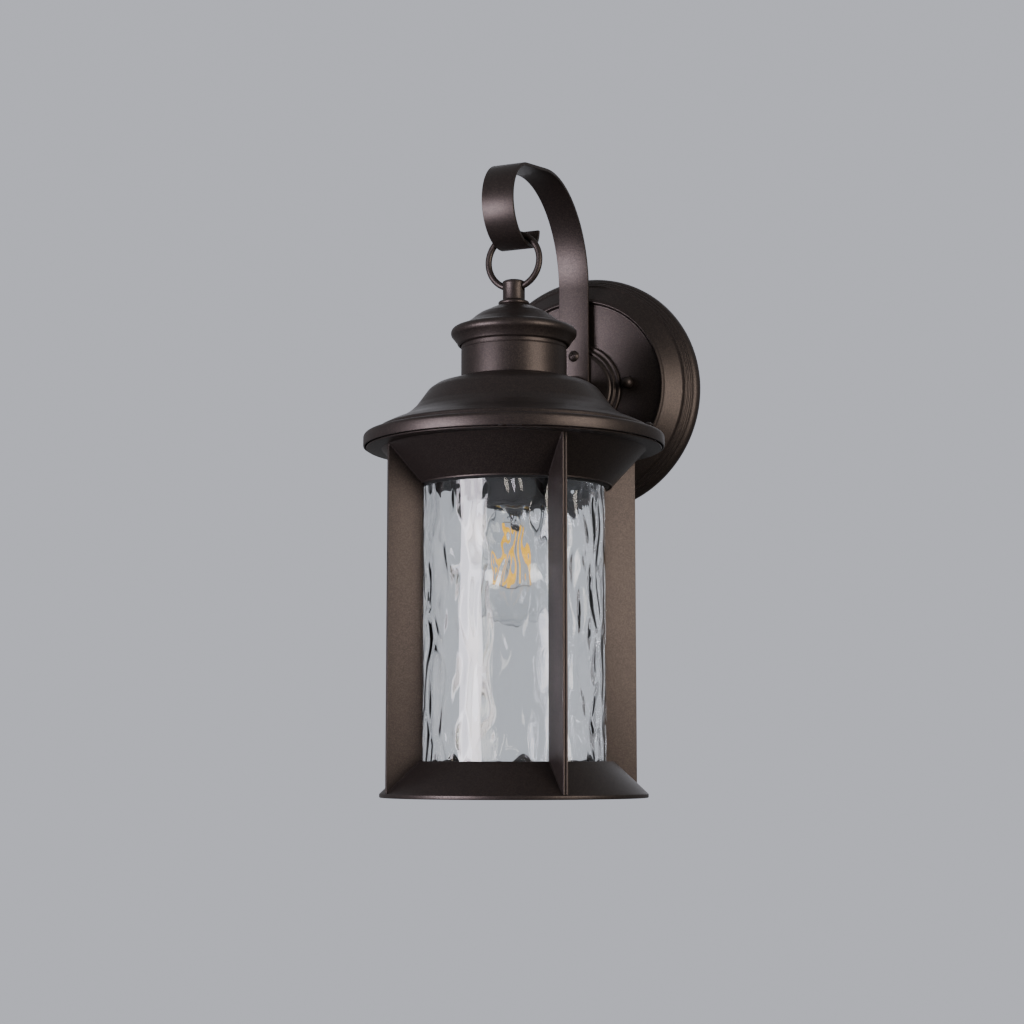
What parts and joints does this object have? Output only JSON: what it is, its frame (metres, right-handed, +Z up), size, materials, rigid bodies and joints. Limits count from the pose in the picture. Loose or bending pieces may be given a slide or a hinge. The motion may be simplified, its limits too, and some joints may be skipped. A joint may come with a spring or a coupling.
{
  "type": "outdoor wall lantern",
  "caption": "Wall lantern with a round backplate, curled strap arm, hanging ring, spun roof, finned cage and rippled clear glass cylinder around a screw-in filament lamp.",
  "frame": {"origin": "centre of the backplate on the wall plane, which is the centre of the wall box screw pattern", "axes": "+Z up, +Y into the wall, -Y out towards the viewer, +X to the viewer's right"},
  "size_m": [0.1908, 0.2256, 0.4089],
  "materials": {
    "bronze": "oil rubbed bronze powder coat with a fine metallic fleck, satin",
    "zinc_steel": "zinc plated steel",
    "foam_rubber": "closed cell foam",
    "silicone": "black silicone rubber",
    "green_screw": "green dyed ground screw",
    "phenolic": "moulded black phenolic",
    "brass_shell": "rolled brass sheet",
    "lead_black": "black insulation",
    "lead_white": "white insulation",
    "lead_green": "green insulation",
    "connector_plastic": "moulded orange plastic",
    "lamp_cap_metal": "nickel plated brass",
    "black_glass": "black vitreous insulator",
    "solder": "solder",
    "lamp_wire": "nickel wire",
    "filament_phosphor": "yellow phosphor coated filament",
    "water_glass": "clear water glass with tall soft ripples",
    "lamp_glass": "clear blown glass"
  },
  "bodies": {
    "lantern": {"wall_gasket": "foam_rubber", "box_bar": "zinc_steel", "stud_bar": "zinc_steel", "ground_screw": "green_screw", "mounting_studs": "zinc_steel", "stud_nuts": "zinc_steel", "backplate": "bronze", "ball_nuts": "bronze", "stiffener": "zinc_steel", "boss": "bronze", "hook_strap": "bronze", "strap_screws": "bronze", "arm_tube": "bronze", "arm_saddles": "bronze", "arm_nuts": "zinc_steel", "neck": "bronze", "cap": "bronze", "finial": "bronze", "centre_pipe": "zinc_steel", "clamp_bar": "zinc_steel", "pipe_nuts": "zinc_steel", "roof": "bronze", "roof_screws": "bronze", "hopper": "bronze", "fin_front_left": "bronze", "fin_front_right": "bronze", "fin_back_left": "bronze", "fin_back_right": "bronze", "bottom_ring": "bronze", "glass_seat": "bronze", "glass": "water_glass", "top_gasket": "silicone", "bottom_gasket": "silicone", "socket_body": "phenolic", "socket_shell": "brass_shell", "socket_contact": "brass_shell", "lead_hot": "lead_black", "lead_neutral": "lead_white", "ground_lead": "lead_green", "wire_connectors": "connector_plastic"},
    "ring": {"ring": "bronze"},
    "lamp": {"bulb_base": "lamp_cap_metal", "bulb_insulator": "black_glass", "bulb_contact": "solder", "bulb_envelope": "lamp_glass", "bulb_stem": "lamp_glass", "bulb_filaments": "filament_phosphor", "bulb_wires": "lamp_wire"}
  },
  "joints": [
    {"name": "ring_swing", "type": "hinge", "parent": "lantern", "child": "ring", "pos_m": [0, -0.1302, 0.04986], "axis": [1, 0, 0], "range_deg": [-7, 5]},
    {"name": "lamp_out", "type": "slide", "parent": "lantern", "child": "lamp", "axis": [0, 0, -1], "range_m": [0, 0.215]}
  ]
}
